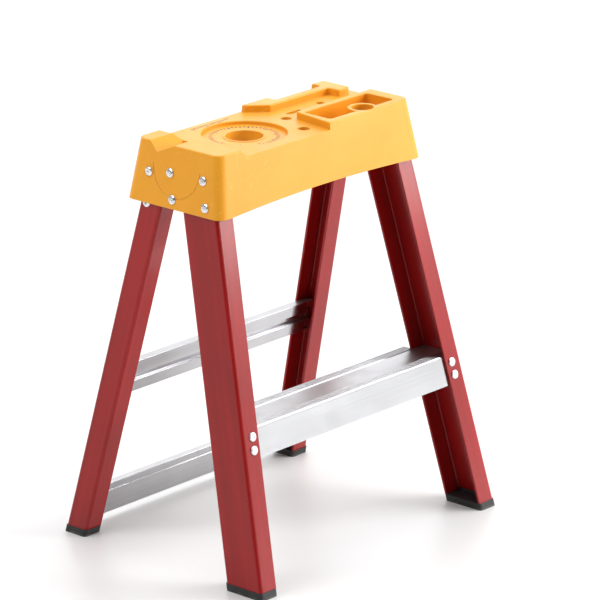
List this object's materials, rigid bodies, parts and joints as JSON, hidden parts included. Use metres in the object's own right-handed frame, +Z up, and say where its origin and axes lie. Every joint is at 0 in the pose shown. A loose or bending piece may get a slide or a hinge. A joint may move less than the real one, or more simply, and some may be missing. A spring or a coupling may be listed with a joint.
{
  "type": "step ladder",
  "caption": "Low folding step ladder with a moulded tool-tray top cap, channel rails, a ribbed tread and braced rear legs.",
  "frame": {"origin": "on the floor, at the centre of the box round the four feet", "axes": "+Z up, -Y towards the climbing side, +X to the climber's right"},
  "size_m": [0.4884, 0.3924, 0.59],
  "materials": {
    "cap_plastic": "satin moulded, warm yellow",
    "red_fibreglass": "pultruded, semi-gloss deep red",
    "mill_aluminium": "mill finish extrusion",
    "rivet_steel": "plated rivets",
    "plated_steel": "zinc plated sheet",
    "washer_nylon": "natural nylon",
    "shoe_rubber": "moulded black rubber"
  },
  "bodies": {
    "stand": {"top_cap": "cap_plastic", "cap_bracket_left": "plated_steel", "cap_bracket_right": "plated_steel", "cap_rivets_left": "rivet_steel", "cap_rivets_right": "rivet_steel", "hinge_rivet_left": "rivet_steel", "hinge_rivet_right": "rivet_steel", "hinge_washer_left": "washer_nylon", "hinge_washer_right": "washer_nylon", "front_rail_left": "red_fibreglass", "front_rail_right": "red_fibreglass", "tread": "mill_aluminium", "tread_front_rivets_left": "rivet_steel", "tread_front_rivets_right": "rivet_steel", "tread_rear_rivet_left": "rivet_steel", "tread_rear_rivet_right": "rivet_steel", "front_shoe_left": "shoe_rubber", "front_shoe_right": "shoe_rubber"},
    "rear_frame": {"rear_rail_left": "red_fibreglass", "rear_rail_right": "red_fibreglass", "hinge_plate_left": "plated_steel", "hinge_plate_right": "plated_steel", "hinge_plate_rivet_left": "rivet_steel", "hinge_plate_rivet_right": "rivet_steel", "upper_rear_bar": "mill_aluminium", "lower_rear_bar": "mill_aluminium", "upper_bar_rivets_left": "rivet_steel", "upper_bar_rivets_right": "rivet_steel", "lower_bar_rivets_left": "rivet_steel", "lower_bar_rivets_right": "rivet_steel", "rear_shoe_left": "shoe_rubber", "rear_shoe_right": "shoe_rubber"}
  },
  "joints": [
    {"name": "rear_frame_fold", "type": "hinge", "parent": "stand", "child": "rear_frame", "pos_m": [0, 0.04447, 0.548], "axis": [-1, 0, 0], "range_deg": [0, 28]}
  ]
}
